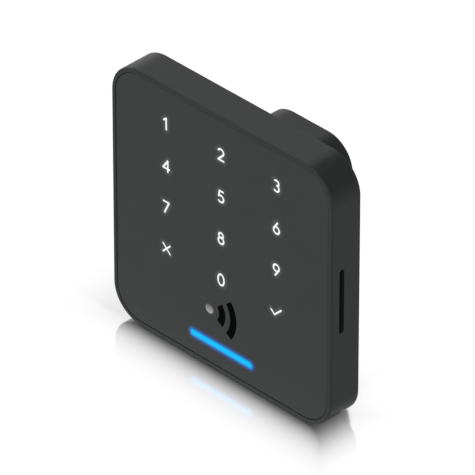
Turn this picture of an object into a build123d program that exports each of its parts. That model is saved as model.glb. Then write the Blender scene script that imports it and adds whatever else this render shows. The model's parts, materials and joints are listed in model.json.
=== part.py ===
"""Wall-mounted keypad access reader: a square tile with a flush touch panel, lit legends and a
light bar, a rear body that goes into the wall box, and a steel wall plate it hangs on.

Millimetres. +X is to the right as seen from the front, +Y goes into the wall, +Z is up.
The origin is the centre of the wall plate's back face, which lies on the wall."""
import os
from math import atan2, degrees, hypot

from build123d import *

# Tile
tile_size = 75.0
tile_depth = 9.6
tile_corner = 9.25
wall_gap = 0.2
skirt_back = -wall_gap
tile_front = skirt_back - tile_depth
front_round = 0.45
back_round = 0.12

# Front panel in its rebate, a little below the rim
rim_width = 1.25
panel_gap = 0.14
panel_sink = 0.1
panel_round = 0.08
panel_thick = 1.5
panel_front = tile_front + panel_sink
panel_back = panel_front + panel_thick
adhesive_thick = 0.15
shelf_front = panel_back + adhesive_thick
shelf_thick = 0.9
shelf_back = shelf_front + shelf_thick
window_size = 62.0
window_corner = 4.0
wall_thick = 1.6
cavity_size = tile_size - 2 * wall_thick
cavity_corner = tile_corner - wall_thick

# Legends, light bar and tap symbol
column_pitch = 18.82
row_pitch = 12.17
row_top = 26.6
digit_stroke = 0.57
sign_stroke = 0.5
bar_length = 21.5
bar_width = 2.0
bar_z = -30.3
symbol_z = -20.4
symbol_x = -4.0
symbol_stroke = 2.2
symbol_deep = 0.3

# Light baffle and boards in the tile
film_thick = 0.1
film_back = panel_back + film_thick
inner_sheet = 61.4
board_front = -6.4
board_back = -5.4
board_size = 68.0
notch_inner_x = 26.0
notch_half_z = 8.6
led_height = 0.6

# Sound slot in the right wall, with the speaker behind it
slot_length = 18.6
slot_width = 1.6
slot_y = -6.3
slot_z = 0.6

# Rear cover and the rear body on it
floor_front = -3.2
floor_back = -1.8
cover_size = 71.2
cover_corner = 7.2
body_width = 28.54
body_height = 43.5
body_corner = 8.3
body_back = 21.1
body_wall = 1.5
body_floor_front = body_back - body_wall
body_round = 0.15
pocket_front = -5.2
rib_width = 1.0
rib_back = -3.7
rib_thick = 0.9

# Screws that hold the cover
cover_screw_pitch = 63.6
boss_radius = 2.4
pilot_radius = 0.9

# Main board in the rear body
main_front = 3.0
main_back = 4.2
post_x = 9.8
post_z = 16.2
post_radius = 1.5

# Network jack in the rear body
jack_z = -9.5
jack_half_x = 8.0
jack_half_z = 7.0
plug_depth = 12.5

# Reset button and tamper plunger
reset_x = 7.0
reset_z = 8.0
tamper_x = -17.0
tamper_z = -27.0

# Wall plate with four hooks, and the security screw under it
plate_thick = 1.2
plate_half_x = 35.4
plate_bottom = -31.5
plate_top = 34.5
wall_screw_spacing = 60.0
wall_slot_length = 7.0
wall_slot_radius = 2.1
lift_travel = 3.0
hook_x = 24.0
hook_half_x = 3.0
hook_bottoms = (18.0, -16.0)
hook_post_high = 2.5
hook_lip_high = 2.5
hook_front = -4.8
hook_lip_back = -3.6
tab_bottom = -28.5
tab_top = -27.3
tab_front = -4.0
screw_y = -2.5
screw_radius = 1.0
screw_head_radius = 1.6
groove_radius = 0.8
ring_bottom = -32.0
ring_top = -31.6


def depth_plane(y):
    """Plane parallel to the wall at depth y, with its normal towards the front."""
    return Plane.XZ.offset(-y)


def block(x_span, y_span, z_span, mode=Mode.ADD):
    """Box between two limits along each axis."""
    middles = [(low + high) / 2 for low, high in (x_span, y_span, z_span)]
    with Locations(tuple(middles)):
        Box(x_span[1] - x_span[0], y_span[1] - y_span[0], z_span[1] - z_span[0], mode=mode)


def rod_y(x, z, y_span, radius, mode=Mode.ADD):
    """Round bar or hole along Y."""
    with Locations((x, (y_span[0] + y_span[1]) / 2, z)):
        Cylinder(radius, y_span[1] - y_span[0], rotation=(90, 0, 0), mode=mode)


def rod_z(x, y, z_span, radius, mode=Mode.ADD):
    """Round bar or hole along Z."""
    with Locations((x, y, (z_span[0] + z_span[1]) / 2)):
        Cylinder(radius, z_span[1] - z_span[0], mode=mode)


def line_stroke(start, end, width):
    """Straight stroke with round ends."""
    run = end[0] - start[0]
    rise = end[1] - start[1]
    with Locations(((start[0] + end[0]) / 2, (start[1] + end[1]) / 2)):
        SlotCenterToCenter(hypot(run, rise), width, rotation=degrees(atan2(rise, run)))


def arc_stroke(centre, radius, start_angle, sweep, width):
    """Curved stroke of constant width."""
    with BuildLine() as path:
        CenterArc(centre, radius, start_angle, sweep)
    trace(path.line, line_width=width)


def ring_stroke(centre, radius, width):
    """Closed round stroke."""
    arc_stroke(centre, radius, 0, 180, width)
    arc_stroke(centre, radius, 180, 180, width)


# Each legend is drawn about its own middle: lines as start and end, arcs as centre, radius,
# start angle and sweep, rings as centre and radius.
top = 1.575
legend_strokes = {
    "1": {"lines": [((0.14, top), (0.14, -top)), ((0.14, top), (-0.64, 0.95))]},
    "2": {"arcs": [((0, 0.655), 0.92, -38, 203)],
          "lines": [((0.725, 0.089), (-0.9, -top)), ((-0.9, -top), (0.92, -top))]},
    "3": {"arcs": [((-0.05, 0.8), 0.775, -90, 235), ((-0.05, -0.7), 0.875, -150, 240)]},
    "4": {"lines": [((0.6, top), (0.6, -top)), ((0.6, top), (-1.0, -0.75)),
                    ((-1.0, -0.75), (1.1, -0.75))]},
    "5": {"arcs": [((-0.05, -0.62), 0.95, -148, 283)],
          "lines": [((-0.5, top), (0.72, top)), ((-0.5, top), (-0.72, 0.05))]},
    "6": {"rings": [((0, -0.62), 0.95)], "lines": [((-0.81, -0.13), (0.35, top))]},
    "7": {"lines": [((-0.92, top), (0.92, top)), ((0.92, top), (-0.55, -top))]},
    "8": {"rings": [((0, 0.84), 0.735), ((0, -0.66), 0.915)]},
    "9": {"rings": [((0, 0.62), 0.95)], "lines": [((0.81, 0.13), (-0.35, -top))]},
    "0": {},
    "cancel": {"lines": [((-1.2, -1.2), (1.2, 1.2)), ((-1.2, 1.2), (1.2, -1.2))]},
    "ok": {"lines": [((-1.7, 0.0), (-0.55, -1.1)), ((-0.55, -1.1), (1.7, 1.1))]},
}
legend_rows = (("1", "2", "3"), ("4", "5", "6"), ("7", "8", "9"), ("cancel", "0", "ok"))
legend_spots = {}
for row, names in enumerate(legend_rows):
    for column, legend_name in enumerate(names):
        legend_spots[legend_name] = (column_pitch * (column - 1), row_top - row_pitch * row)

finished = {}

# Legends: clear inlays through the panel, one for each touch key.
for legend_name, strokes in legend_strokes.items():
    stroke_width = sign_stroke if legend_name in ("cancel", "ok") else digit_stroke
    with BuildPart() as legend:
        with BuildSketch(depth_plane(panel_back)) as legend_outline:
            with Locations(legend_spots[legend_name]):
                with BuildSketch(mode=Mode.PRIVATE) as drawn:
                    for start, end in strokes.get("lines", []):
                        line_stroke(start, end, stroke_width)
                    for centre, radius, start_angle, sweep in strokes.get("arcs", []):
                        arc_stroke(centre, radius, start_angle, sweep, stroke_width)
                    for centre, radius in strokes.get("rings", []):
                        ring_stroke(centre, radius, stroke_width)
                    if legend_name == "0":
                        Ellipse(1.3, top + stroke_width / 2)
                        Ellipse(1.3 - stroke_width, top - stroke_width / 2, mode=Mode.SUBTRACT)
                add(drawn.sketch)
        extrude(amount=panel_thick)
    finished["legend_" + legend_name] = legend.part

# Light bar lens, below the touch keys.
with BuildPart() as light_bar:
    with BuildSketch(depth_plane(panel_back)):
        with Locations((0, bar_z)):
            SlotOverall(bar_length, bar_width)
    extrude(amount=panel_thick)
finished["light_bar"] = light_bar.part

# Tap symbol: two waves and a dot, inlaid flush in the panel.
with BuildPart() as tap_symbol:
    with BuildSketch(depth_plane(panel_front + symbol_deep)):
        with Locations((symbol_x, symbol_z)):
            Circle(symbol_stroke * 0.6)
        for wave_radius in (4.4, 8.2):
            arc_stroke((symbol_x, symbol_z), wave_radius, -37, 74, symbol_stroke)
    extrude(amount=symbol_deep)
finished["tap_symbol"] = tap_symbol.part

# Front panel, in the housing's rebate, with openings for the legends and the bar.
panel_size = tile_size - 2 * (rim_width + panel_gap)
panel_corner = tile_corner - rim_width - panel_gap
with BuildPart() as front_panel:
    with BuildSketch(depth_plane(panel_back)):
        RectangleRounded(panel_size, panel_size, panel_corner)
    extrude(amount=panel_thick)
    fillet(front_panel.faces().sort_by(Axis.Y)[0].edges(), radius=panel_round)
    for inlay in list(finished.values()):
        add(inlay, mode=Mode.SUBTRACT)
finished["front_panel"] = front_panel.part

# Housing: outer wall, shelf that the panel is bonded to, screw bosses and the sound slot.
rebate_size = tile_size - 2 * rim_width
with BuildPart() as housing:
    with BuildSketch(depth_plane(skirt_back)):
        RectangleRounded(tile_size, tile_size, tile_corner)
    extrude(amount=tile_depth)
    fillet(housing.faces().sort_by(Axis.Y)[0].edges(), radius=front_round)
    fillet(housing.faces().sort_by(Axis.Y)[-1].edges(), radius=back_round)
    with BuildSketch(depth_plane(shelf_front)):
        RectangleRounded(rebate_size, rebate_size, tile_corner - rim_width)
    extrude(amount=shelf_front - tile_front, mode=Mode.SUBTRACT)
    with BuildSketch(depth_plane(skirt_back)):
        RectangleRounded(cavity_size, cavity_size, cavity_corner)
    extrude(amount=skirt_back - shelf_back, mode=Mode.SUBTRACT)
    with BuildSketch(depth_plane(shelf_back)):
        RectangleRounded(window_size, window_size, window_corner)
    extrude(amount=shelf_thick, mode=Mode.SUBTRACT)
    # Rib that the cover gasket seats on
    with BuildSketch(depth_plane(rib_back)):
        RectangleRounded(cavity_size + 0.4, cavity_size + 0.4, cavity_corner + 0.2)
        rib_inner = cavity_size - 2 * rib_width
        RectangleRounded(rib_inner, rib_inner, cavity_corner - rib_width, mode=Mode.SUBTRACT)
    extrude(amount=rib_thick)
    # Corner bosses for the cover screws
    with BuildSketch(depth_plane(floor_front)):
        with GridLocations(cover_screw_pitch, cover_screw_pitch, 2, 2):
            Circle(boss_radius)
    extrude(amount=floor_front - shelf_back)
    with BuildSketch(depth_plane(floor_front)):
        with GridLocations(cover_screw_pitch, cover_screw_pitch, 2, 2):
            Circle(pilot_radius)
    extrude(amount=floor_front - shelf_back - 0.4, mode=Mode.SUBTRACT)
    # Sound slot through the right wall
    with BuildSketch(Plane.YZ.offset(tile_size / 2)):
        with Locations((slot_y, slot_z)):
            SlotOverall(slot_length, slot_width, rotation=90)
    extrude(amount=-wall_thick, mode=Mode.SUBTRACT)
    # Seat for the captive security screw in the bottom wall
    cavity_bottom = -cavity_size / 2
    seat_top = cavity_bottom + 0.7
    block((-2.2, 2.2), (rib_back - rib_thick, rib_back), (seat_top, cavity_bottom + rib_width),
          Mode.SUBTRACT)
    block((-3.2, 3.2), (-4.1, -0.9), (cavity_bottom - 0.3, seat_top))
    rod_z(0, screw_y, (-tile_size / 2, seat_top), screw_radius + 0.1, Mode.SUBTRACT)
    rod_z(0, screw_y, (-tile_size / 2, -36.35), screw_head_radius + 0.2, Mode.SUBTRACT)
finished["housing"] = housing.part

# Bonding frame between the panel and the shelf.
with BuildPart() as panel_adhesive:
    with BuildSketch(depth_plane(shelf_front)):
        RectangleRounded(panel_size - 0.2, panel_size - 0.2, panel_corner - 0.1)
        RectangleRounded(window_size + 0.4, window_size + 0.4, window_corner, mode=Mode.SUBTRACT)
    extrude(amount=adhesive_thick)
finished["panel_adhesive"] = panel_adhesive.part

# Touch film behind the panel, with a window for each legend and the bar.
with BuildPart() as touch_film:
    with BuildSketch(depth_plane(film_back)):
        RectangleRounded(inner_sheet, inner_sheet, window_corner - 0.3)
        with Locations(*legend_spots.values()):
            Rectangle(5.0, 5.0, mode=Mode.SUBTRACT)
        with Locations((0, bar_z + 0.6)):
            Rectangle(23.0, 3.0, mode=Mode.SUBTRACT)
    extrude(amount=film_thick)
finished["touch_film"] = touch_film.part

# Light baffle: a plate of wells that keeps each light to its own legend.
with BuildPart() as light_baffle:
    with BuildSketch(depth_plane(board_front)):
        RectangleRounded(inner_sheet, inner_sheet, window_corner - 0.3)
        with Locations(*legend_spots.values()):
            RectangleRounded(6.0, 6.0, 1.0, mode=Mode.SUBTRACT)
        with Locations((0, bar_z + 1.2)):
            RectangleRounded(24.0, 3.6, 0.8, mode=Mode.SUBTRACT)
    extrude(amount=board_front - film_back)
    block((notch_inner_x, inner_sheet), (-7.45, board_front), (-notch_half_z, notch_half_z),
          Mode.SUBTRACT)
finished["light_baffle"] = light_baffle.part

# Keypad board, cut away for the cover bosses and the speaker.
with BuildPart() as keypad_pcb:
    with BuildSketch(depth_plane(board_back)):
        RectangleRounded(board_size, board_size, 6.0)
        with GridLocations(cover_screw_pitch, cover_screw_pitch, 2, 2):
            Circle(boss_radius + 0.4, mode=Mode.SUBTRACT)
        with Locations((notch_inner_x + board_size / 2, 0)):
            Rectangle(board_size, 2 * notch_half_z, mode=Mode.SUBTRACT)
    extrude(amount=board_back - board_front)
finished["keypad_pcb"] = keypad_pcb.part

# One light behind each legend, and five behind the bar.
led_span = (board_front - led_height, board_front)
with BuildPart() as key_leds:
    for spot_x, spot_z in legend_spots.values():
        block((spot_x - 0.8, spot_x + 0.8), led_span, (spot_z - 0.4, spot_z + 0.4))
finished["key_leds"] = key_leds.part
with BuildPart() as bar_leds:
    for number in range(5):
        spot_x = 4.0 * (number - 2)
        block((spot_x - 0.8, spot_x + 0.8), led_span, (bar_z + 0.6, bar_z + 1.4))
finished["bar_leds"] = bar_leds.part

# Card antenna: four turns printed on the keypad board's back, with a ferrite frame over them.
antenna_z = 3.0
with BuildPart() as nfc_antenna:
    with BuildSketch(depth_plane(board_back + 0.1)):
        with Locations((0, antenna_z)):
            for turn in range(4):
                turn_width = 48.0 - 1.8 * turn
                turn_height = 54.0 - 1.8 * turn
                RectangleRounded(turn_width, turn_height, 3.0)
                RectangleRounded(turn_width - 1.0, turn_height - 1.0, 2.5, mode=Mode.SUBTRACT)
    extrude(amount=0.1)
finished["nfc_antenna"] = nfc_antenna.part
with BuildPart() as ferrite_sheet:
    with BuildSketch(depth_plane(board_back + 0.35)):
        with Locations((0, antenna_z)):
            RectangleRounded(48.6, 54.6, 3.0)
            RectangleRounded(40.0, 46.0, 2.0, mode=Mode.SUBTRACT)
    extrude(amount=0.25)
finished["ferrite_sheet"] = ferrite_sheet.part

# Chips and the screening can on the keypad board's back.
with BuildPart() as reader_chip:
    block((-16.5, -11.5), (board_back, board_back + 0.9), (5.5, 10.5))
    chamfer(reader_chip.faces().sort_by(Axis.Y)[-1].edges(), length=0.15)
finished["reader_chip"] = reader_chip.part
with BuildPart() as controller_chip:
    block((-3.5, 3.5), (board_back, board_back + 0.9), (-1.5, 5.5))
    chamfer(controller_chip.faces().sort_by(Axis.Y)[-1].edges(), length=0.15)
finished["controller_chip"] = controller_chip.part
with BuildPart() as radio_shield:
    block((-8.0, 8.0), (board_back, board_back + 1.6), (-15.0, -4.0))
    fillet(radio_shield.edges().filter_by(Axis.Y), radius=1.0)
    block((-7.8, 7.8), (board_back, board_back + 1.4), (-14.8, -4.2), Mode.SUBTRACT)
finished["radio_shield"] = radio_shield.part

# Speaker facing the side slot, and the mesh that keeps dust out of it.
with BuildPart() as speaker:
    block((notch_inner_x + 0.4, 34.8), (shelf_back + 0.05, board_back), (-8.0, 8.0))
    fillet(speaker.edges().filter_by(Axis.Y), radius=1.2)
    block((33.6, 34.8), (-6.8, -5.8), (-6.0, 6.0), Mode.SUBTRACT)
finished["speaker"] = speaker.part
with BuildPart() as acoustic_mesh:
    block((35.6, 35.85), (-7.12, -5.3), (-10.0, 11.2))
finished["acoustic_mesh"] = acoustic_mesh.part

# Board-to-board connector between the keypad board and the main board.
connector_z = 12.0
connector_span_z = (connector_z - 2.5, connector_z + 2.5)
pin_pitch = 2.54
with BuildPart() as board_socket:
    block((-7.7, 7.7), (board_back, 0.5), connector_span_z)
    with BuildSketch(depth_plane(0.5)):
        with Locations((0, connector_z)):
            with GridLocations(pin_pitch, pin_pitch, 6, 2):
                Circle(0.45)
    extrude(amount=5.0, mode=Mode.SUBTRACT)
finished["board_socket"] = board_socket.part
with BuildPart() as board_header:
    block((-7.7, 7.7), (0.5, main_front), connector_span_z)
    with BuildSketch(depth_plane(main_front)):
        with Locations((0, connector_z)):
            with GridLocations(pin_pitch, pin_pitch, 6, 2):
                Circle(0.32)
    extrude(amount=main_front - 0.5, mode=Mode.SUBTRACT)
finished["board_header"] = board_header.part
with BuildPart() as header_pins:
    with BuildSketch(depth_plane(main_front)):
        with Locations((0, connector_z)):
            with GridLocations(pin_pitch, pin_pitch, 6, 2):
                Circle(0.3)
    extrude(amount=main_front + 3.5)
finished["header_pins"] = header_pins.part

# Rear cover: floor of the tile with the rear body, and pockets that keep the wall plate's
# tab and the wall screws' heads outside the sealed space.
with BuildPart() as rear_cover:
    with BuildSketch(depth_plane(floor_back)):
        RectangleRounded(cover_size, cover_size, cover_corner)
    extrude(amount=floor_back - floor_front)
    with BuildSketch(depth_plane(body_back)):
        RectangleRounded(body_width, body_height, body_corner)
    extrude(amount=body_back - floor_back)
    fillet(rear_cover.faces().sort_by(Axis.Y)[-1].edges(), radius=body_round)
    with BuildSketch(depth_plane(body_floor_front)):
        RectangleRounded(body_width - 2 * body_wall, body_height - 2 * body_wall,
                         body_corner - body_wall)
    extrude(amount=body_floor_front - floor_front, mode=Mode.SUBTRACT)
    # Pocket round the wall plate's screw tab, open at the bottom
    block((-8.0, 8.0), (pocket_front, floor_front), (-34.7, -24.6))
    block((-7.0, 7.0), (pocket_front + 0.9, floor_back), (-cover_size / 2, -25.6), Mode.SUBTRACT)
    # Pockets over the wall screws' heads
    for side in (-1, 1):
        block(sorted((side * 24.6, side * 34.8)), (pocket_front, floor_front), (-8.8, 5.8))
        block(sorted((side * 25.6, side * 34.3)), (pocket_front + 1.0, floor_back), (-7.8, 4.8),
              Mode.SUBTRACT)
    # Slots for the hooks, long enough for the lift
    for hook_bottom in hook_bottoms:
        for side in (-1, 1):
            middle = side * hook_x
            slot_top = hook_bottom + hook_post_high + 0.1
            slot_low = hook_bottom - lift_travel - 0.3
            block((middle - hook_half_x - 0.3, middle + hook_half_x + 0.3),
                  (floor_front, floor_back), (slot_low, slot_top), Mode.SUBTRACT)
    # Posts for the main board
    for side_x in (-post_x, post_x):
        for side_z in (-post_z, post_z):
            rod_y(side_x, side_z, (main_back, body_floor_front), post_radius)
            rod_y(side_x, side_z, (main_back, main_back + 5.0), 0.8, Mode.SUBTRACT)
    # Counterbored holes for the cover screws
    with BuildSketch(depth_plane(floor_back)):
        with GridLocations(cover_screw_pitch, cover_screw_pitch, 2, 2):
            Circle(1.1)
    extrude(amount=floor_back - floor_front, mode=Mode.SUBTRACT)
    with BuildSketch(depth_plane(floor_back)):
        with GridLocations(cover_screw_pitch, cover_screw_pitch, 2, 2):
            Circle(2.0)
    extrude(amount=0.85, mode=Mode.SUBTRACT)
    # Openings for the network jack, the reset button and the tamper plunger
    block((-jack_half_x - 0.2, jack_half_x + 0.2), (body_floor_front, body_back),
          (jack_z - jack_half_z - 0.2, jack_z + jack_half_z + 0.2), Mode.SUBTRACT)
    rod_y(reset_x, reset_z, (body_floor_front, body_back), 1.7, Mode.SUBTRACT)
    rod_y(tamper_x, tamper_z, (floor_front, floor_back), 1.6, Mode.SUBTRACT)
    # Shallow seat for the label
    block((-11.0, 2.5), (body_back - 0.12, body_back), (3.0, 18.0), Mode.SUBTRACT)
finished["rear_cover"] = rear_cover.part

# Blank label in its seat.
with BuildPart() as rating_label:
    block((-10.8, 2.3), (body_back - 0.12, body_back - 0.02), (3.2, 17.8))
finished["rating_label"] = rating_label.part

# Gasket between the cover and the housing's rib.
with BuildPart() as cover_gasket:
    with BuildSketch(depth_plane(floor_front)):
        RectangleRounded(71.6, 71.6, 7.4)
        RectangleRounded(70.0, 70.0, 6.6, mode=Mode.SUBTRACT)
        with GridLocations(cover_screw_pitch, cover_screw_pitch, 2, 2):
            Circle(boss_radius + 0.1, mode=Mode.SUBTRACT)
        with Locations((0, -35.5)):
            Rectangle(16.4, 2.0, mode=Mode.SUBTRACT)
    extrude(amount=floor_front - rib_back)
finished["cover_gasket"] = cover_gasket.part

# Screws that hold the cover to the housing, with cross recesses.
with BuildPart() as cover_screws:
    half_pitch = cover_screw_pitch / 2
    for side_x in (-half_pitch, half_pitch):
        for side_z in (-half_pitch, half_pitch):
            rod_y(side_x, side_z, (-2.6, -1.85), 1.8)
            rod_y(side_x, side_z, (-6.6, -2.6), pilot_radius - 0.02)
            block((side_x - 1.1, side_x + 1.1), (-2.25, -1.85), (side_z - 0.2, side_z + 0.2),
                  Mode.SUBTRACT)
            block((side_x - 0.2, side_x + 0.2), (-2.25, -1.85), (side_z - 1.1, side_z + 1.1),
                  Mode.SUBTRACT)
finished["cover_screws"] = cover_screws.part

# Main board and the screws that hold it on its posts.
with BuildPart() as main_pcb:
    with BuildSketch(depth_plane(main_back)):
        RectangleRounded(24.9, 39.4, 6.6)
        with GridLocations(2 * post_x, 2 * post_z, 2, 2):
            Circle(0.9, mode=Mode.SUBTRACT)
    extrude(amount=main_back - main_front)
finished["main_pcb"] = main_pcb.part
with BuildPart() as board_screws:
    for side_x in (-post_x, post_x):
        for side_z in (-post_z, post_z):
            rod_y(side_x, side_z, (main_front - 0.7, main_front), 1.5)
            rod_y(side_x, side_z, (main_front, main_back + 4.0), 0.78)
finished["board_screws"] = board_screws.part

# Network jack: metal shell, plastic insert with the plug cavity, and eight contacts.
jack_span_x = (-jack_half_x, jack_half_x)
jack_span_z = (jack_z - jack_half_z, jack_z + jack_half_z)
with BuildPart() as jack_shell:
    block(jack_span_x, (main_back, body_back), jack_span_z)
    block((-jack_half_x + 0.3, jack_half_x - 0.3), (main_back + 0.3, body_back),
          (jack_span_z[0] + 0.3, jack_span_z[1] - 0.3), Mode.SUBTRACT)
finished["jack_shell"] = jack_shell.part
insert_back = body_back - 0.2
cavity_span_y = (insert_back - plug_depth, insert_back)
with BuildPart() as jack_insert:
    block((-jack_half_x + 0.35, jack_half_x - 0.35), (main_back + 0.35, insert_back),
          (jack_span_z[0] + 0.35, jack_span_z[1] - 0.35))
    block((-5.9, 5.9), cavity_span_y, (jack_z - 3.5, jack_z + 3.5), Mode.SUBTRACT)
    block((-3.1, 3.1), cavity_span_y, (jack_z - 5.5, jack_z - 3.5), Mode.SUBTRACT)
finished["jack_insert"] = jack_insert.part
with BuildPart() as jack_contacts:
    for number in range(8):
        contact_x = 1.02 * (number - 3.5)
        with BuildSketch(Plane.YZ.offset(contact_x - 0.2)):
            with BuildLine():
                Line((insert_back - 1.3, jack_z + 3.25), (cavity_span_y[0] + 2.0, jack_z + 1.3))
            trace(line_width=0.35)
        extrude(amount=0.4)
finished["jack_contacts"] = jack_contacts.part

# Power parts on the main board.
with BuildPart() as transformer:
    block((-11.0, 0.0), (main_back, main_back + 7.0), (0.0, 9.0))
    chamfer(transformer.faces().sort_by(Axis.Y)[-1].edges(), length=0.5)
finished["transformer"] = transformer.part
with BuildPart() as capacitor:
    rod_y(-4.6, 13.6, (main_back, main_back + 11.0), 4.0)
    fillet(capacitor.faces().sort_by(Axis.Y)[-1].edges(), radius=0.4)
finished["capacitor"] = capacitor.part
with BuildPart() as inductor:
    block((1.6, 7.6), (main_back, main_back + 4.0), (12.0, 18.0))
    chamfer(inductor.edges().filter_by(Axis.Y), length=1.0)
finished["inductor"] = inductor.part

# Reset switch and the button that reaches it through the rear body's back.
switch_top = main_back + 3.4
with BuildPart() as reset_switch:
    block((reset_x - 3.0, reset_x + 3.0), (main_back, main_back + 2.9),
          (reset_z - 3.0, reset_z + 3.0))
    rod_y(reset_x, reset_z, (main_back + 2.9, switch_top), 1.6)
finished["reset_switch"] = reset_switch.part
with BuildPart() as reset_button:
    rod_y(reset_x, reset_z, (switch_top + 0.4, body_back - 0.1), 1.4)
    rod_y(reset_x, reset_z, (body_floor_front - 1.2, body_floor_front - 0.3), 2.4)
    fillet(reset_button.faces().sort_by(Axis.Y)[-1].edges(), radius=0.3)
finished["reset_button"] = reset_button.part

# Tamper switch on the keypad board and the plunger that feels the wall plate.
with BuildPart() as tamper_switch:
    block((tamper_x - 1.75, tamper_x + 1.75), (board_back, board_back + 0.7),
          (tamper_z - 1.75, tamper_z + 1.75))
finished["tamper_switch"] = tamper_switch.part
with BuildPart() as tamper_plunger:
    rod_y(tamper_x, tamper_z, (floor_front - 0.1, -plate_thick - 0.05), 1.3)
    rod_y(tamper_x, tamper_z, (floor_front - 0.7, floor_front - 0.1), 2.0)
    rod_y(tamper_x, tamper_z, (floor_front - 1.05, floor_front - 0.7), 0.8)
finished["tamper_plunger"] = tamper_plunger.part

# Wall plate: sheet steel with a window for the rear body, slots for the wall screws, four
# hooks that the reader hangs on, and a tab for the security screw.
plate_middle_z = (plate_bottom + plate_top) / 2
with BuildPart() as wall_plate:
    with BuildSketch(depth_plane(0)):
        with Locations((0, plate_middle_z)):
            RectangleRounded(2 * plate_half_x, plate_top - plate_bottom, 6.5)
        with Locations((0, lift_travel / 2)):
            RectangleRounded(body_width + 1.0, body_height + lift_travel + 1.0,
                             body_corner + 0.5, mode=Mode.SUBTRACT)
        with Locations((0, tab_bottom - 5.0)):
            Rectangle(7.0, 10.0, mode=Mode.SUBTRACT)
        with GridLocations(wall_screw_spacing, 0, 2, 1):
            SlotOverall(wall_slot_length, 2 * wall_slot_radius, mode=Mode.SUBTRACT)
    extrude(amount=plate_thick)
    for hook_bottom in hook_bottoms:
        for side in (-1, 1):
            hook_span_x = (side * hook_x - hook_half_x, side * hook_x + hook_half_x)
            post_top = hook_bottom + hook_post_high
            block(hook_span_x, (hook_front, 0), (hook_bottom, post_top))
            block(hook_span_x, (hook_front, hook_lip_back), (post_top, post_top + hook_lip_high))
    block((-4.5, 4.5), (tab_front, 0), (tab_bottom, tab_top))
    rod_z(0, screw_y, (tab_bottom, tab_top), screw_radius + 0.3, Mode.SUBTRACT)
finished["wall_plate"] = wall_plate.part

# Security screw with a hexagon socket round a centre pin, and its retaining ring.
with BuildPart() as security_screw:
    rod_z(0, screw_y, (-36.4, -26.8), screw_radius)
    rod_z(0, screw_y, (-37.4, -36.4), screw_head_radius)
    chamfer(security_screw.faces().sort_by(Axis.Z)[-1].edges(), length=0.3)
    with BuildSketch(Plane.XY.offset(-37.4)):
        with Locations((0, screw_y)):
            RegularPolygon(0.85, 6)
            Circle(0.3, mode=Mode.SUBTRACT)
    extrude(amount=0.6, mode=Mode.SUBTRACT)
    with BuildSketch(Plane.XY.offset(ring_bottom - 0.05)):
        with Locations((0, screw_y)):
            Circle(screw_radius + 0.1)
            Circle(groove_radius, mode=Mode.SUBTRACT)
    extrude(amount=ring_top - ring_bottom + 0.1, mode=Mode.SUBTRACT)
finished["security_screw"] = security_screw.part
with BuildPart() as screw_ring:
    rod_z(0, screw_y, (ring_bottom, ring_top), screw_head_radius)
    rod_z(0, screw_y, (ring_bottom, ring_top), groove_radius + 0.05, Mode.SUBTRACT)
    block((-0.5, 0.5), (screw_y - 2.0, screw_y), (ring_bottom, ring_top), Mode.SUBTRACT)
finished["screw_ring"] = screw_ring.part

os.makedirs("parts", exist_ok=True)
for node_name, solid in finished.items():
    solid.label = node_name
    export_step(solid, "parts/" + node_name + ".step")
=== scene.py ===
"""Keypad access reader: looks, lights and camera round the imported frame."""
import json
from math import cos, e, pi, radians, sin

import bmesh
import bpy
from mathutils import Matrix, Vector
from mathutils.bvhtree import BVHTree


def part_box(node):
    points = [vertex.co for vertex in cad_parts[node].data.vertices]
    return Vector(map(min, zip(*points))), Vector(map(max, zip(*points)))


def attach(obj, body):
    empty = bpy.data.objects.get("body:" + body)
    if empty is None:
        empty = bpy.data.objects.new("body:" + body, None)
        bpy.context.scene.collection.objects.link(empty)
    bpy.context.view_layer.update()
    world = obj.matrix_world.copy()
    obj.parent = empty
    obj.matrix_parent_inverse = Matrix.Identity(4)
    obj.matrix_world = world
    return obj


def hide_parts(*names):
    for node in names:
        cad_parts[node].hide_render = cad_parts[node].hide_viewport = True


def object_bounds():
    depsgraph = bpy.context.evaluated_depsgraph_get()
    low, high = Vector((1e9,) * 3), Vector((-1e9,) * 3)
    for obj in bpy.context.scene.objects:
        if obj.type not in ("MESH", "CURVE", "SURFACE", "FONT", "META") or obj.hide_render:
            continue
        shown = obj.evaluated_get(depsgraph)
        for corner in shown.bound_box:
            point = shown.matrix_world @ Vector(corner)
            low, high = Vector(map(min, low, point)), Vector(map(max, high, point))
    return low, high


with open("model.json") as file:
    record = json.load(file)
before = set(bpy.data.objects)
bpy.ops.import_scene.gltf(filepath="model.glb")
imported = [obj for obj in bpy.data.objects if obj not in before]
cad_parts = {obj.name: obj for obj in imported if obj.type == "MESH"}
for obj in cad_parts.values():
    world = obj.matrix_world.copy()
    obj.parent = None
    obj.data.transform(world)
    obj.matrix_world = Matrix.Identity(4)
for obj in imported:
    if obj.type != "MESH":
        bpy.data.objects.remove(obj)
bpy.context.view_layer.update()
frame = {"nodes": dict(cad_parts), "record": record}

nodes = frame["nodes"]
MM = 0.001
WELD = 0.001 * MM            # corners nearer than this are one corner
NOISE_LOW, NOISE_HIGH = 0.3, 0.7    # most of a noise's values lie between these


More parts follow.
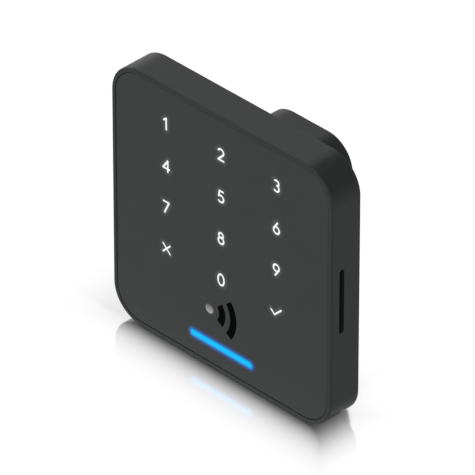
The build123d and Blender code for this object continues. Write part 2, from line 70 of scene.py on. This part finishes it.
# ---------------------------------------------------------------- materials
class Graph:
    """A material with a Principled shader and short calls for adding nodes to it."""

    def __init__(self, name):
        self.material = bpy.data.materials.new(name)
        self.material.use_nodes = True
        self.tree = self.material.node_tree
        self.shader = self.tree.nodes["Principled BSDF"]
        self.place = self.add("ShaderNodeTexCoord").outputs["Object"]

    def add(self, kind, **settings):
        """New node with the given settings."""
        node = self.tree.nodes.new(kind)
        for key, value in settings.items():
            setattr(node, key, value)
        return node

    def link(self, source, target):
        self.tree.links.new(source, target)

    def put(self, **values):
        """Set numbers on the shader's own sockets, named with _ for a space."""
        for key, value in values.items():
            self.shader.inputs[key.replace("_", " ")].default_value = value

    def axes(self):
        """X, Y and Z of the place on the object, in metres."""
        split = self.add("ShaderNodeSeparateXYZ")
        self.link(self.place, split.inputs[0])
        return split.outputs["X"], split.outputs["Y"], split.outputs["Z"]

    def attribute(self, name):
        """Number that a piece's mesh carries on its corners."""
        return self.add("ShaderNodeAttribute", attribute_name=name).outputs["Fac"]

    def noise(self, size_mm, detail, stretch=None):
        """Noise whose features are about size_mm across."""
        node = self.add("ShaderNodeTexNoise")
        node.inputs["Scale"].default_value = 1.0 / (size_mm * MM)
        node.inputs["Detail"].default_value = detail
        if stretch:
            scaled = self.add("ShaderNodeMapping")
            scaled.inputs["Scale"].default_value = stretch
            self.link(self.place, scaled.inputs["Vector"])
            self.link(scaled.outputs["Vector"], node.inputs["Vector"])
        else:
            self.link(self.place, node.inputs["Vector"])
        return node.outputs["Fac"]

    def ramp(self, source, low, high, colour_low, colour_high):
        """Colour that runs from colour_low to colour_high while source goes from low to high."""
        node = self.add("ShaderNodeValToRGB")
        node.color_ramp.elements[0].position = low
        node.color_ramp.elements[1].position = high
        node.color_ramp.elements[0].color = (*colour_low, 1)
        node.color_ramp.elements[1].color = (*colour_high, 1)
        self.link(source, node.inputs["Fac"])
        return node.outputs["Color"]

    def span(self, source, low, high, to_low, to_high):
        """Number that runs from to_low to to_high while source goes from low to high."""
        node = self.add("ShaderNodeMapRange")
        for key, value in zip(("From Min", "From Max", "To Min", "To Max"),
                              (low, high, to_low, to_high)):
            node.inputs[key].default_value = value
        self.link(source, node.inputs["Value"])
        return node.outputs["Result"]

    def math(self, operation, first, second=None):
        """Number worked out from one or two others, each a number or a socket."""
        node = self.add("ShaderNodeMath", operation=operation)
        for slot, value in zip(node.inputs, (first, second)):
            if value is None:
                continue
            if isinstance(value, (int, float)):
                slot.default_value = value
            else:
                self.link(value, slot)
        return node.outputs["Value"]

    def vector(self, operation, first, second):
        """Colour worked out from two others, part by part."""
        node = self.add("ShaderNodeVectorMath", operation=operation)
        self.link(first, node.inputs[0])
        self.link(second, node.inputs[1])
        return node.outputs["Vector"]

    def past(self, first, second):
        """How far first is above second, never below zero, in millimetres."""
        return self.math("MAXIMUM", self.math("DIVIDE", self.math("SUBTRACT", first, second), MM), 0.0)

    def fade(self, distance, length):
        """Share that is left after a distance, when each length leaves 1/e of it."""
        return self.math("POWER", e, self.math("DIVIDE", distance, -length))

    def bump(self, height, depth_mm):
        """Normal of a surface raised by height times depth_mm."""
        node = self.add("ShaderNodeBump")
        node.inputs["Strength"].default_value = 1.0
        node.inputs["Distance"].default_value = depth_mm * MM
        self.link(height, node.inputs["Height"])
        return node.outputs["Normal"]


def surface(name, colour, rough, grain_mm, depth_mm, vary=0.12, spread=0.06, metal=0.0,
            stretch=None, **values):
    """Solid finish with fine grain, slow colour drift and uneven roughness."""
    broad_mm = 9.0
    g = Graph(name)
    fine = g.noise(grain_mm, 2.0, stretch)
    broad = g.noise(broad_mm, 4.0)
    dark = tuple(c * (1 - vary) for c in colour)
    light = tuple(min(1.0, c * (1 + vary)) for c in colour)
    g.link(g.ramp(broad, NOISE_LOW, NOISE_HIGH, dark, light), g.shader.inputs["Base Color"])
    g.link(g.span(broad, NOISE_LOW, NOISE_HIGH, rough - spread, rough + spread),
           g.shader.inputs["Roughness"])
    g.link(g.bump(fine, depth_mm), g.shader.inputs["Normal"])
    g.put(Metallic=metal, **values)
    return g


# Each finish: colour, roughness, then the size and depth of its grain in millimetres.
plain_finishes = {
    "adhesive": ((0.02, 0.02, 0.02), 0.9, 0.2, 0.01),
    "film_clear": ((0.1, 0.09, 0.07), 0.35, 0.5, 0.001),
    "baffle_white": ((0.75, 0.75, 0.73), 0.6, 0.2, 0.004),
    "led_body": ((0.8, 0.75, 0.45), 0.5, 0.1, 0.002),
    "board_black": ((0.012, 0.02, 0.016), 0.4, 0.3, 0.003),
    "ferrite": ((0.05, 0.05, 0.052), 0.55, 0.1, 0.003),
    "chip_black": ((0.02, 0.02, 0.021), 0.62, 0.08, 0.006),
    "speaker_black": ((0.015, 0.015, 0.015), 0.6, 0.2, 0.004),
    "connector_black": ((0.014, 0.014, 0.014), 0.5, 0.2, 0.004),
    "gasket_grey": ((0.03, 0.03, 0.031), 0.8, 0.2, 0.006),
    "core_black": ((0.03, 0.03, 0.028), 0.4, 0.4, 0.006),
    "inductor_grey": ((0.12, 0.12, 0.125), 0.7, 0.12, 0.01),
    "button_grey": ((0.16, 0.16, 0.165), 0.5, 0.15, 0.003),
    "plate_steel": ((0.022, 0.022, 0.023), 0.55, 0.35, 0.02),
    "mesh_grey": ((0.03, 0.03, 0.031), 0.6, 0.1, 0.01),
}
metal_finishes = {
    "copper": ((0.72, 0.38, 0.2), 0.35, 0.2, 0.002),
    "tinned_steel": ((0.6, 0.6, 0.59), 0.35, 0.3, 0.002),
    "gold": ((0.85, 0.6, 0.22), 0.25, 0.2, 0.001),
    "zinc_screw": ((0.55, 0.55, 0.53), 0.32, 0.1, 0.003),
    "can_aluminium": ((0.75, 0.75, 0.76), 0.28, 0.2, 0.002),
    "screw_steel": ((0.12, 0.12, 0.12), 0.35, 0.08, 0.003),
}
made = {slot: surface(slot, *finish) for slot, finish in plain_finishes.items()}
for slot, finish in metal_finishes.items():
    made[slot] = surface(slot, *finish, metal=1.0)
made["jack_steel"] = surface("jack_steel", (0.62, 0.61, 0.58), 0.3, 0.25, 0.003, metal=1.0,
                             stretch=(1, 0.08, 1))
made["label_silver"] = surface("label_silver", (0.42, 0.42, 0.43), 0.38, 0.15, 0.002, metal=0.4)

moulding_colour = (0.0243, 0.0270, 0.0257)
satin_ior = 1.34
made["cover_black"] = surface("cover_black", moulding_colour, 0.31, 0.16, 0.002, vary=0.05,
                              spread=0.03, IOR=satin_ior)


def middle(node_name):
    """Middle of a node's box."""
    low_corner, high_corner = (Vector(corner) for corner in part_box(node_name))
    return (low_corner + high_corner) / 2


def along_bar(g):
    """Distance from the middle line of the light bar, with its round ends, in millimetres."""
    bar_low, bar_high = (Vector(corner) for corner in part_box("light_bar"))
    half_width = (bar_high.z - bar_low.z) / 2
    half_line = (bar_high.x - bar_low.x) / 2 - half_width
    centre = (bar_low + bar_high) / 2
    place_x, _, place_z = g.axes()
    off_x = g.math("ABSOLUTE", g.math("SUBTRACT", place_x, centre.x))
    past_end = g.math("MAXIMUM", g.math("SUBTRACT", off_x, half_line), 0.0)
    off_z = g.math("SUBTRACT", place_z, centre.z)
    squares = g.math("ADD", g.math("POWER", past_end, 2.0), g.math("POWER", off_z, 2.0))
    return g.math("DIVIDE", g.math("SQRT", squares), MM)


def bar_half_width():
    """Half the width of the light bar, in millimetres."""
    bar_low, bar_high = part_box("light_bar")
    return (bar_high[2] - bar_low[2]) / 2 / MM


def bar_halo(g):
    """Blue light that spreads into the panel from the bar, its green share dying away sooner."""
    edge, reach = bar_half_width(), 1.5
    green, green_fall = 0.125, 3.0
    blue, blue_fall = 0.47, 2.4
    close = g.span(along_bar(g), edge, edge + reach, 1.0, 0.0)
    halo = g.add("ShaderNodeCombineColor")
    halo.inputs["Red"].default_value = 0.0
    g.link(g.math("MULTIPLY", g.math("POWER", close, green_fall), green), halo.inputs["Green"])
    g.link(g.math("MULTIPLY", g.math("POWER", close, blue_fall), blue), halo.inputs["Blue"])
    return halo.outputs["Color"]


def panel_finish():
    """Satin panel, with the light that spreads in it round the legends and the light bar."""
    legend_reach, legend_fall = 1.25, 1.35
    g = surface("panel_black", (0.0400, 0.0440, 0.0420), 0.34, 0.12, 0.001, vary=0.03, spread=0.02,
                IOR=satin_ior)
    close = g.span(g.attribute("legend_distance"), 0.0, legend_reach, 1.0, 0.0)
    white = g.ramp(g.math("POWER", close, legend_fall), 0.0, 1.0, (0, 0, 0), (0.05, 0.05, 0.051))
    g.link(g.vector("ADD", bar_halo(g), white), g.shader.inputs["Emission Color"])
    g.put(Emission_Strength=1.0)
    return g


def legend_finish():
    """Clear inlay lit white from behind, full in its core and dimmer along its outline."""
    outline_level, patch_mm, patch_level = 0.35, 1.6, 0.94
    g = surface("legend_white", (0.03, 0.03, 0.03), 0.3, 0.3, 0.001)
    uneven = g.span(g.noise(patch_mm, 2.0), NOISE_LOW, NOISE_HIGH, patch_level, 1.0)
    level = g.math("MULTIPLY", g.span(g.attribute("core"), 0.0, 1.0, outline_level, 1.0), uneven)
    g.link(g.ramp(level, 0.0, 1.0, (0, 0, 0), (0.97, 0.985, 1.0)), g.shader.inputs["Emission Color"])
    g.put(Emission_Strength=1.0)
    return g


def bar_finish():
    """Clear lens lit azure from behind, deeper blue along its edge."""
    edge_rise = 2.4
    azure, deep_blue = (0.003, 0.54, 1.0), (0.01, 0.19, 0.62)
    g = surface("bar_blue", (0.003, 0.008, 0.016), 0.3, 0.3, 0.001)
    outwards = g.span(along_bar(g), 0.0, bar_half_width(), 0.0, 1.0)
    colour = g.ramp(g.math("POWER", outwards, edge_rise), 0.0, 1.0, azure, deep_blue)
    g.link(colour, g.shader.inputs["Emission Color"])
    g.put(Emission_Strength=1.0, Specular_IOR_Level=0.06)
    return g


def housing_finish():
    """Satin moulding, with a painted highlight on its front edge: its colour is lifted there, most at
    the very front.
    """
    front_y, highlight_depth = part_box("housing")[0][1], 0.75 * MM
    g = surface("housing_black", moulding_colour, 0.30, 0.16, 0.002, vary=0.05, spread=0.03,
                IOR=satin_ior)
    moulded = g.shader.inputs["Base Color"].links[0].from_socket
    # painted highlight: the rim's colour is lifted over its first 0.75 mm from the front, standing in
    # for light on the rim
    highlight_share = g.span(g.axes()[1], front_y, front_y + highlight_depth, 1.0, 0.0)
    rim_highlight = g.ramp(highlight_share, 0.0, 1.0, (0, 0, 0), (0.0070, 0.0079, 0.0074))
    g.link(g.vector("ADD", moulded, rim_highlight), g.shader.inputs["Base Color"])
    return g


def symbol_finish():
    """Black gloss foil, metal on the dot, with a painted reflection there whose silver brightens
    downwards.
    """
    dot_width, half_drift = 3.2 * MM, 1.5 * MM
    dim_reflection, bright_reflection = (0.14, 0.14, 0.14), (0.8, 0.8, 0.8)
    g = surface("symbol_gloss", (0.001, 0.001, 0.001), 0.08, 0.5, 0.0002, spread=0.02)
    foil_low, foil_high = (Vector(corner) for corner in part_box("tap_symbol"))
    middle_z = (foil_low.z + foil_high.z) / 2
    place_x, _, place_z = g.axes()
    downwards = g.span(place_z, middle_z + half_drift, middle_z - half_drift, 0.0, 1.0)
    # painted reflection: the dot's colour runs from dim to bright silver downwards, standing in for a
    # lit reflection
    painted_reflection = g.ramp(downwards, 0.0, 1.0, dim_reflection, bright_reflection)
    on_dot = g.math("LESS_THAN", place_x, foil_low.x + dot_width)
    g.link(g.vector("MULTIPLY", painted_reflection, on_dot), g.shader.inputs["Base Color"])
    g.link(on_dot, g.shader.inputs["Metallic"])
    g.put(Specular_IOR_Level=0.02)
    return g


made["housing_black"] = housing_finish()
made["panel_black"] = panel_finish()
made["legend_white"] = legend_finish()
made["bar_blue"] = bar_finish()
made["symbol_gloss"] = symbol_finish()

for row in frame["record"]["subparts"]:
    node = nodes[row["node"]]
    node.data.materials.clear()
    node.data.materials.append(made[row["material_slot"]].material)


# ---------------------------------------------------------------- pieces made from the CAD shapes
def take(node_name, piece_name, body, slot):
    """New piece that starts as a copy of a node's mesh, stands for it and rides on its body."""
    mesh = nodes[node_name].data.copy()
    mesh.name = piece_name
    piece = bpy.data.objects.new(piece_name, mesh)
    bpy.context.scene.collection.objects.link(piece)
    mesh.materials.clear()
    mesh.materials.append(made[slot].material)
    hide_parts(node_name)
    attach(piece, body)
    return piece


def front_faces(bm):
    """Faces that lie in the front plane of a mesh."""
    front_y = min(vertex.co.y for vertex in bm.verts)
    return [face for face in bm.faces
            if all(vertex.co.y < front_y + 2 * WELD for vertex in face.verts)]


legend_names = [name for name in nodes if name.startswith("legend_")]


def lit_legend(node_name):
    """Legend with a band along its outline, so that its light can fall off there."""
    band = 0.1 * MM
    piece = take(node_name, node_name + "_lit", "reader", "legend_white")
    bm = bmesh.new()
    bm.from_mesh(piece.data)
    bmesh.ops.remove_doubles(bm, verts=bm.verts, dist=WELD)
    layer = bm.verts.layers.float.new("core")
    faces = front_faces(bm)
    bmesh.ops.inset_region(bm, faces=faces, thickness=band, use_even_offset=True,
                           use_boundary=True)
    for face in faces:
        for vertex in face.verts:
            vertex[layer] = 1.0
    bm.to_mesh(piece.data)
    bm.free()


for name in legend_names:
    lit_legend(name)


def legend_tree(name):
    """Search tree over a legend's front face."""
    bm = bmesh.new()
    bm.from_mesh(nodes[name].data)
    faces = front_faces(bm)
    corners = [tuple(vertex.co) for vertex in bm.verts]
    polygons = [[vertex.index for vertex in face.verts] for face in faces]
    bm.free()
    return BVHTree.FromPolygons(corners, polygons)


def cut_front(bm, place, normal):
    """Cut the front faces of a mesh along a plane."""
    parts = {item for face in front_faces(bm) for item in (face, *face.edges, *face.verts)}
    bmesh.ops.bisect_plane(bm, geom=list(parts), plane_co=place, plane_no=normal, dist=WELD / 2)


def glowing_panel():
    """Front panel with a fine grid round the legends, which carries the distance to them."""
    reach, step = 3.6 * MM, 0.4 * MM
    farthest_mm = 3.0
    piece = take("front_panel", "front_panel_lit", "reader", "panel_black")
    bm = bmesh.new()
    bm.from_mesh(piece.data)
    bmesh.ops.remove_doubles(bm, verts=bm.verts, dist=WELD)
    for axis, normal in ((0, (1, 0, 0)), (2, (0, 0, 1))):
        for spot in sorted({round(middle(name)[axis], 4) for name in legend_names}):
            for number in range(round(2 * reach / step) + 1):
                place = Vector((0, 0, 0))
                place[axis] = spot - reach + step * number
                cut_front(bm, place, normal)
    layer = bm.verts.layers.float.new("legend_distance")
    trees = [legend_tree(name) for name in legend_names]
    for vertex in bm.verts:
        found = [tree.find_nearest(vertex.co, farthest_mm * MM)[3] for tree in trees]
        vertex[layer] = min([gap / MM for gap in found if gap is not None] + [farthest_mm])
    bm.to_mesh(piece.data)
    bm.free()


glowing_panel()


def tube(bm, rows):
    """Join rows of points, each row closed round, into the wall of a tube."""
    rings = [[bm.verts.new(point) for point in row] for row in rows]
    width = len(rings[0])
    for first, second in zip(rings, rings[1:]):
        for number in range(width):
            after = (number + 1) % width
            bm.faces.new((first[number], first[after], second[after], second[number]))
    return rings


def threaded_screw():
    """Security screw: the head as in the CAD, and a shank with its ring groove and thread."""
    head_height, clearance, hair = 1.0 * MM, 0.05 * MM, 0.001 * MM
    pitch, major, minor, groove = 0.4 * MM, 0.99 * MM, 0.75 * MM, 0.8 * MM
    plain_above_ring, around, step = 0.8 * MM, 32, 0.05 * MM
    ridge_half, run_out, tip = 0.42, 0.6, 0.2    # parts of a pitch, and the ridge left at the end
    groove_rows = (2, 3)
    piece = take("security_screw", "security_screw_threaded", "security_screw", "screw_steel")
    bm = bmesh.new()
    bm.from_mesh(piece.data)
    low_z = min(vertex.co.z for vertex in bm.verts)
    high_z = max(vertex.co.z for vertex in bm.verts)
    axis_y = middle("security_screw").y
    head_top = low_z + head_height
    above = [face for face in bm.faces if face.calc_center_median().z > head_top + 10 * hair]
    bmesh.ops.delete(bm, geom=above, context="FACES")

    ring_low, ring_high = (Vector(corner).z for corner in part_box("screw_ring"))
    thread_low = ring_high + plain_above_ring
    heights = [head_top, ring_low - clearance, ring_low - clearance + hair, ring_high + clearance,
               ring_high + clearance + hair, thread_low]
    plain_rows = len(heights)
    turns = range(1, int((high_z - thread_low) / step))
    heights += [thread_low + step * number for number in turns] + [high_z]

    def thread_radius(z, turn):
        """Radius of the thread at a height, for a part of a turn round the axis."""
        phase = ((z - thread_low) / pitch - turn) % 1.0
        ridge = 1.0 - min(1.0, abs(phase - 0.5) / ridge_half)
        lead = min(1.0, (z - thread_low) / pitch, (high_z - z) / (run_out * pitch) + tip)
        return minor + (major - minor) * ridge * lead

    rows = []
    for count, z in enumerate(heights):
        row = []
        for number in range(around):
            turn = number / around
            radius = groove if count in groove_rows else major
            if count >= plain_rows:
                radius = thread_radius(z, turn)
            row.append((radius * cos(2 * pi * turn), axis_y + radius * sin(2 * pi * turn), z))
        rows.append(row)
    bm.faces.new(tube(bm, rows)[-1])
    bmesh.ops.recalc_face_normals(bm, faces=bm.faces)
    bm.to_mesh(piece.data)
    bm.free()


threaded_screw()


def woven_mesh():
    """Dust mesh behind the sound slot, woven over and under from round strands."""
    pitch, strand, swing = 0.26 * MM, 0.045 * MM, 0.055 * MM
    sides, bends_per_pitch = 6, 4
    piece = take("acoustic_mesh", "acoustic_mesh_woven", "reader", "mesh_grey")
    low_corner, high_corner = (Vector(corner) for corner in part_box("acoustic_mesh"))
    bm = bmesh.new()
    centre_x = (low_corner.x + high_corner.x) / 2
    spans = {1: (low_corner.y, high_corner.y), 2: (low_corner.z, high_corner.z)}
    for along, across in ((1, 2), (2, 1)):
        start, end = spans[along]
        first, last = spans[across]
        count = int((last - first - 2 * strand) / pitch)
        edge = (last - first - pitch * count) / 2
        bends = bends_per_pitch * int((end - start) / pitch)
        for number in range(count + 1):
            rows = []
            for bend in range(bends + 1):
                place = start + (end - start) * bend / bends
                wave = sin(pi * ((place - start) / pitch + number) + (pi if along == 1 else 0.0))
                row = []
                for corner in range(sides):
                    angle = 2 * pi * corner / sides
                    point = Vector((centre_x + swing * wave + strand * cos(angle), 0, 0))
                    point[along] = place
                    point[across] = first + edge + pitch * number + strand * sin(angle)
                    row.append(point)
                rows.append(row)
            tube(bm, rows)
    bm.to_mesh(piece.data)
    bm.free()
    for polygon in piece.data.polygons:
        polygon.use_smooth = True


woven_mesh()

# Broken edges, in millimetres, on pieces that the CAD leaves sharp.
edge_breaks = {"wall_plate": 0.12, "jack_shell": 0.08, "jack_insert": 0.08, "speaker": 0.1,
               "radio_shield": 0.06, "transformer": 0.15, "board_socket": 0.1,
               "board_header": 0.1, "cover_screws": 0.06, "board_screws": 0.06,
               "inductor": 0.15, "screw_ring": 0.04, "rear_cover": 0.06, "reset_switch": 0.08,
               "tamper_switch": 0.06, "key_leds": 0.04, "bar_leds": 0.04, "main_pcb": 0.05,
               "keypad_pcb": 0.05, "header_pins": 0.04, "jack_contacts": 0.03}
sharpest_left = radians(40)
for name, width in edge_breaks.items():
    edge_break = nodes[name].modifiers.new("edge_break", "BEVEL")
    edge_break.width = width * MM
    edge_break.segments = 2
    edge_break.limit_method = "ANGLE"
    edge_break.angle_limit = sharpest_left
    edge_break.use_clamp_overlap = True


# ---------------------------------------------------------------- stage
tile_low, tile_high = (Vector(corner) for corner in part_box("housing"))
white_seen = 1.02             # just over white, so that the floor meets the backdrop unseen
floor_half = 6.0
floor_mesh = bpy.data.meshes.new("floor")
floor_mesh.from_pydata([(-floor_half, -floor_half, 0), (floor_half, -floor_half, 0),
                        (floor_half, floor_half, 0), (-floor_half, floor_half, 0)],
                       [], [(0, 1, 2, 3)])
floor = bpy.data.objects.new("floor", floor_mesh)
floor.location = (0, 0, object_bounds()[0][2])
bpy.context.scene.collection.objects.link(floor)


def floor_mirror(g, in_front, behind, on_left, on_right):
    """Share of the floor that mirrors: it dies away with the height that it would show."""
    corner_bend, left_slope = 24.0, 0.4
    fall_mm, at_contact, firmness = 3.6, 0.765, 2.2
    corner_height = g.math("DIVIDE", g.math("POWER", on_right, 2.0), corner_bend)
    height = g.math("MAXIMUM", in_front, corner_height)
    height = g.math("MAXIMUM", height, g.math("MULTIPLY", on_left, left_slope))
    height = g.math("MAXIMUM", height, behind)
    clear = g.math("SUBTRACT", 1.0, g.math("MULTIPLY", g.fade(height, fall_mm), at_contact))
    return g.math("SUBTRACT", 1.0, g.math("POWER", clear, firmness))


def floor_shade(g, in_front, behind, on_left, on_right):
    """Share of the floor's light that the tile takes away beside it."""
    depth = 0.45
    front_mm, behind_mm, left_mm, right_mm = 1.6, 6.0, 13.0, 2.8
    left_fade = g.math("POWER", g.math("DIVIDE", on_left, left_mm), 2.0)
    sideways = g.math("ADD", left_fade, g.math("DIVIDE", on_right, right_mm))
    lengthways = g.math("ADD", g.math("DIVIDE", in_front, front_mm),
                        g.math("DIVIDE", behind, behind_mm))
    return g.math("MULTIPLY", g.fade(g.math("ADD", sideways, lengthways), 1.0), depth)


def floor_finish():
    """White floor with a mirror and a soft shade where the tile stands on it."""
    corner_radius = 9.25 * MM
    white_lit, gloss_rough = 0.55, 0.08
    g = Graph("floor_white")
    g.tree.nodes.remove(g.shader)
    floor_x, floor_y, _ = g.axes()
    around_tile = (g.past(tile_low.y, floor_y), g.past(floor_y, tile_high.y),
                   g.past(tile_low.x + corner_radius, floor_x),
                   g.past(floor_x, tile_high.x - corner_radius))
    seen = g.add("ShaderNodeLightPath").outputs["Is Camera Ray"]
    glow = g.span(seen, 0.0, 1.0, white_lit, white_seen)
    unshaded = g.math("SUBTRACT", 1.0, floor_shade(g, *around_tile))
    white = g.add("ShaderNodeEmission")
    white.inputs["Color"].default_value = (1, 1, 1, 1)
    g.link(g.math("MULTIPLY", glow, unshaded), white.inputs["Strength"])
    gloss = g.add("ShaderNodeBsdfGlossy")
    gloss.inputs["Color"].default_value = (1, 1, 1, 1)
    gloss.inputs["Roughness"].default_value = gloss_rough
    mix = g.add("ShaderNodeMixShader")
    g.link(floor_mirror(g, *around_tile), mix.inputs["Fac"])
    g.link(white.outputs[0], mix.inputs[1])
    g.link(gloss.outputs[0], mix.inputs[2])
    g.link(mix.outputs[0], g.tree.nodes["Material Output"].inputs["Surface"])
    return g


floor_mesh.materials.append(floor_finish().material)

# Studio: pale light all round, dim in the quarter behind the object on its right. The camera sees
# a white backdrop in its place.
world = bpy.data.worlds.new("studio")
bpy.context.scene.world = world
world.use_nodes = True
sky = world.node_tree
sky.nodes.clear()
direction = sky.nodes.new("ShaderNodeTexCoord").outputs["Generated"]


def sky_span(source, low, high, to_low, to_high, interpolation="LINEAR"):
    """Number that runs from to_low to to_high while source goes from low to high."""
    node = sky.nodes.new("ShaderNodeMapRange")
    node.interpolation_type = interpolation
    for key, value in zip(("From Min", "From Max", "To Min", "To Max"),
                          (low, high, to_low, to_high)):
        node.inputs[key].default_value = value
    sky.links.new(source, node.inputs["Value"])
    return node.outputs["Result"]


def sky_side(normal, soft_from, soft_to):
    """Number that steps from 0 to 1 where the direction passes a plane."""
    dot = sky.nodes.new("ShaderNodeVectorMath")
    dot.operation = "DOT_PRODUCT"
    dot.inputs[1].default_value = Vector(normal).normalized()
    sky.links.new(direction, dot.inputs[0])
    return sky_span(dot.outputs["Value"], soft_from, soft_to, 0.0, 1.0, "SMOOTHSTEP")


def sky_background(colour, strength):
    """Background of one colour, whose strength is a number or a socket."""
    node = sky.nodes.new("ShaderNodeBackground")
    node.inputs["Color"].default_value = (*colour, 1)
    if isinstance(strength, (int, float)):
        node.inputs["Strength"].default_value = strength
    else:
        sky.links.new(strength, node.inputs["Strength"])
    return node.outputs[0]


full_light, dim_light = 1.1, 0.36
in_quarter = sky.nodes.new("ShaderNodeMath")
in_quarter.operation = "MULTIPLY"
sky.links.new(sky_side((0.917, 0, 0.399), -0.03, 0.03), in_quarter.inputs[0])
sky.links.new(sky_side((0, 1, 0), 0.0, 0.3), in_quarter.inputs[1])
light_level = sky_span(in_quarter.outputs["Value"], 0.0, 1.0, full_light, dim_light)
pick = sky.nodes.new("ShaderNodeMixShader")
sky.links.new(sky.nodes.new("ShaderNodeLightPath").outputs["Is Camera Ray"], pick.inputs["Fac"])
sky.links.new(sky_background((0.8, 0.8, 0.8), light_level), pick.inputs[1])
sky.links.new(sky_background((1, 1, 1), white_seen), pick.inputs[2])
sky.links.new(pick.outputs[0], sky.nodes.new("ShaderNodeOutputWorld").inputs["Surface"])
bpy.context.scene.view_settings.view_transform = "Standard"


# ---------------------------------------------------------------- camera
azimuth, elevation = radians(45.127), radians(34.59)
distance, shift_right, shift_up = 1.8764, 4.06 * MM, 2.14 * MM
sensor_mm, lens_mm, clip_end = 36.0, 589.4, 30.0
face_centre = Vector((0, tile_low.y, (tile_low.z + tile_high.z) / 2))
back = Vector((sin(azimuth) * cos(elevation), -cos(azimuth) * cos(elevation), sin(elevation)))
right = Vector((cos(azimuth), sin(azimuth), 0))
up = back.cross(right)
stand = face_centre + back * distance + right * shift_right + up * shift_up
camera_data = bpy.data.cameras.new("camera")
camera_data.sensor_width = sensor_mm
camera_data.lens = lens_mm
camera_data.clip_end = clip_end
camera = bpy.data.objects.new("camera", camera_data)
camera.matrix_world = Matrix.Translation(stand) @ Matrix((right, up, back)).transposed().to_4x4()
bpy.context.scene.collection.objects.link(camera)
bpy.context.scene.camera = camera
